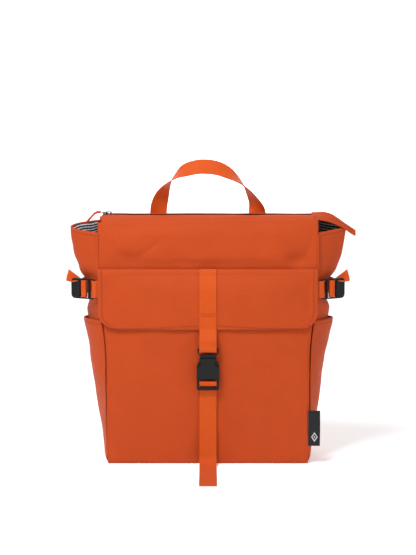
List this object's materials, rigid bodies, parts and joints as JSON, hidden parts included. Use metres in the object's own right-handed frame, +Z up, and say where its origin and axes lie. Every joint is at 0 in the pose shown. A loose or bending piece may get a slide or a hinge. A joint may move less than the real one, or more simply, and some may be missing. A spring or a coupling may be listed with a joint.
{
  "type": "backpack",
  "caption": "Zip-top fabric backpack with a buckled flap over a front pocket, side pockets, cinch straps at both sides, a webbing handle and shoulder straps.",
  "frame": {"origin": "middle of the base's underside, on the floor", "axes": "+Z up, -Y out of the front panel, +X to the viewer's right when the front faces the viewer"},
  "size_m": [0.43, 0.2768, 0.4428],
  "materials": {
    "back_mesh": "woven",
    "black_plastic": "satin",
    "black_ribbon": "ribbed",
    "board": "matte",
    "dark_metal": "dark, worn",
    "foam": "matte foam",
    "orange_cloth": "woven",
    "orange_web": "ribbed webbing",
    "strap_pad": "padded, woven",
    "striped_lining": "woven, fine stripes",
    "zip_cloth": "woven tape",
    "zip_coil": "satin"
  },
  "bodies": {
    "bag": {"base_panel": "orange_cloth", "front_panel": "orange_cloth", "back_panel": "back_mesh", "gusset_left": "orange_cloth", "gusset_right": "orange_cloth", "base_board": "board", "lining_base": "striped_lining", "back_foam": "foam", "lining_back": "striped_lining", "lining_front": "striped_lining", "lining_left": "striped_lining", "lining_right": "striped_lining", "pocket_panel": "orange_cloth", "side_pocket_left": "orange_cloth", "side_pocket_right": "orange_cloth", "label": "black_ribbon", "zip_panel_front": "orange_cloth", "zip_panel_back": "orange_cloth", "zip_tape_front": "zip_cloth", "zip_tape_back": "zip_cloth", "zip_coil": "zip_coil", "zip_stop_left": "dark_metal", "zip_stop_right": "dark_metal", "flap_seam": "orange_cloth", "lower_strap": "orange_web", "strap_tail": "orange_web", "side_strap_left": "orange_web", "shoulder_root_left": "strap_pad", "shoulder_tab_left": "orange_cloth", "side_strap_right": "orange_web", "shoulder_root_right": "strap_pad", "shoulder_tab_right": "orange_cloth", "handle_end_left": "orange_web", "handle_end_right": "orange_web"},
    "flap": {"flap_panel": "orange_cloth", "flap_strap": "orange_web", "buckle_plug": "black_plastic"},
    "prong_left": {"buckle_prong_left": "black_plastic"},
    "prong_right": {"buckle_prong_right": "black_plastic"},
    "socket": {"buckle_socket": "black_plastic", "adjuster_loop": "orange_web"},
    "grab_handle": {"handle": "orange_web"},
    "slider": {"zip_slider_top": "dark_metal", "zip_slider_bottom": "dark_metal"},
    "pull": {"zip_pull_tab": "dark_metal", "zip_pull_ribbon": "orange_web"},
    "free_end": {"zip_tail": "orange_cloth"},
    "side_adjuster_left": {"side_lock_left": "black_plastic", "side_loop_left": "orange_web"},
    "side_adjuster_right": {"side_lock_right": "black_plastic", "side_loop_right": "orange_web"},
    "shoulder_left": {"shoulder_pad_left": "strap_pad", "shoulder_webbing_left": "orange_web"},
    "shoulder_right": {"shoulder_pad_right": "strap_pad", "shoulder_webbing_right": "orange_web"},
    "shoulder_adjuster_left": {"shoulder_lock_left": "black_plastic", "shoulder_loop_left": "orange_web"},
    "shoulder_adjuster_right": {"shoulder_lock_right": "black_plastic", "shoulder_loop_right": "orange_web"}
  },
  "joints": [
    {"name": "flap_hinge", "type": "hinge", "parent": "bag", "child": "flap", "pos_m": [0, -0.04099, 0.284], "axis": [-1, 0, 0], "range_deg": [0, 150]},
    {"name": "prong_left_flex", "type": "hinge", "parent": "flap", "child": "prong_left", "pos_m": [-0.00895, -0.06461, 0.159], "axis": [0, -1, 0], "range_deg": [0, 8], "stiffness_Nm_per_rad": 0.2, "deforming": ["buckle_prong_left"]},
    {"name": "prong_right_flex", "type": "hinge", "parent": "flap", "child": "prong_right", "pos_m": [0.00895, -0.06461, 0.159], "axis": [0, 1, 0], "range_deg": [0, 8], "stiffness_Nm_per_rad": 0.2, "deforming": ["buckle_prong_right"]},
    {"name": "buckle_slide", "type": "slide", "parent": "bag", "child": "socket", "axis": [0, 0, -1], "range_m": [0, 0.028], "deforming": ["lower_strap", "strap_tail"]},
    {"name": "handle_swing", "type": "hinge", "parent": "bag", "child": "grab_handle", "pos_m": [0, 0.02675, 0.36], "axis": [1, 0, 0], "range_deg": [-100, 60]},
    {"name": "zip_slide", "type": "slide", "parent": "bag", "child": "slider", "axis": [1, 0, 0], "range_m": [0, 0.293], "deforming": ["zip_pull_ribbon"]},
    {"name": "pull_lift", "type": "hinge", "parent": "slider", "child": "pull", "pos_m": [-0.148, 0, 0.36515], "axis": [0, 1, 0], "range_deg": [0, 130]},
    {"name": "free_end_lift", "type": "hinge", "parent": "bag", "child": "free_end", "pos_m": [0.157, 0, 0.363], "axis": [0, -1, 0], "range_deg": [0, 35]},
    {"name": "side_adjuster_left_tilt", "type": "hinge", "parent": "bag", "child": "side_adjuster_left", "pos_m": [-0.16082, -0.03857, 0.256], "axis": [0, 0, 1], "range_deg": [0, 45], "deforming": ["side_strap_left"]},
    {"name": "side_adjuster_right_tilt", "type": "hinge", "parent": "bag", "child": "side_adjuster_right", "pos_m": [0.16082, -0.03857, 0.256], "axis": [0, 0, -1], "range_deg": [0, 45], "deforming": ["side_strap_right"]},
    {"name": "shoulder_left_swing", "type": "hinge", "parent": "bag", "child": "shoulder_left", "pos_m": [-0.046, 0.04542, 0.33], "axis": [0.2633, -0.0499, 0.9634], "range_deg": [-20, 20], "deforming": ["shoulder_root_left"]},
    {"name": "shoulder_adjuster_left_tilt", "type": "hinge", "parent": "shoulder_left", "child": "shoulder_adjuster_left", "pos_m": [-0.0855, 0.08593, 0.14573], "axis": [0.9509, 0, -0.3094], "range_deg": [0, 35], "deforming": ["shoulder_webbing_left"]},
    {"name": "shoulder_right_swing", "type": "hinge", "parent": "bag", "child": "shoulder_right", "pos_m": [0.046, 0.04542, 0.33], "axis": [0.2633, 0.0499, -0.9634], "range_deg": [-20, 20], "deforming": ["shoulder_root_right"]},
    {"name": "shoulder_adjuster_right_tilt", "type": "hinge", "parent": "shoulder_right", "child": "shoulder_adjuster_right", "pos_m": [0.0855, 0.08593, 0.14573], "axis": [0.9509, 0, 0.3094], "range_deg": [0, 35], "deforming": ["shoulder_webbing_right"]}
  ]
}
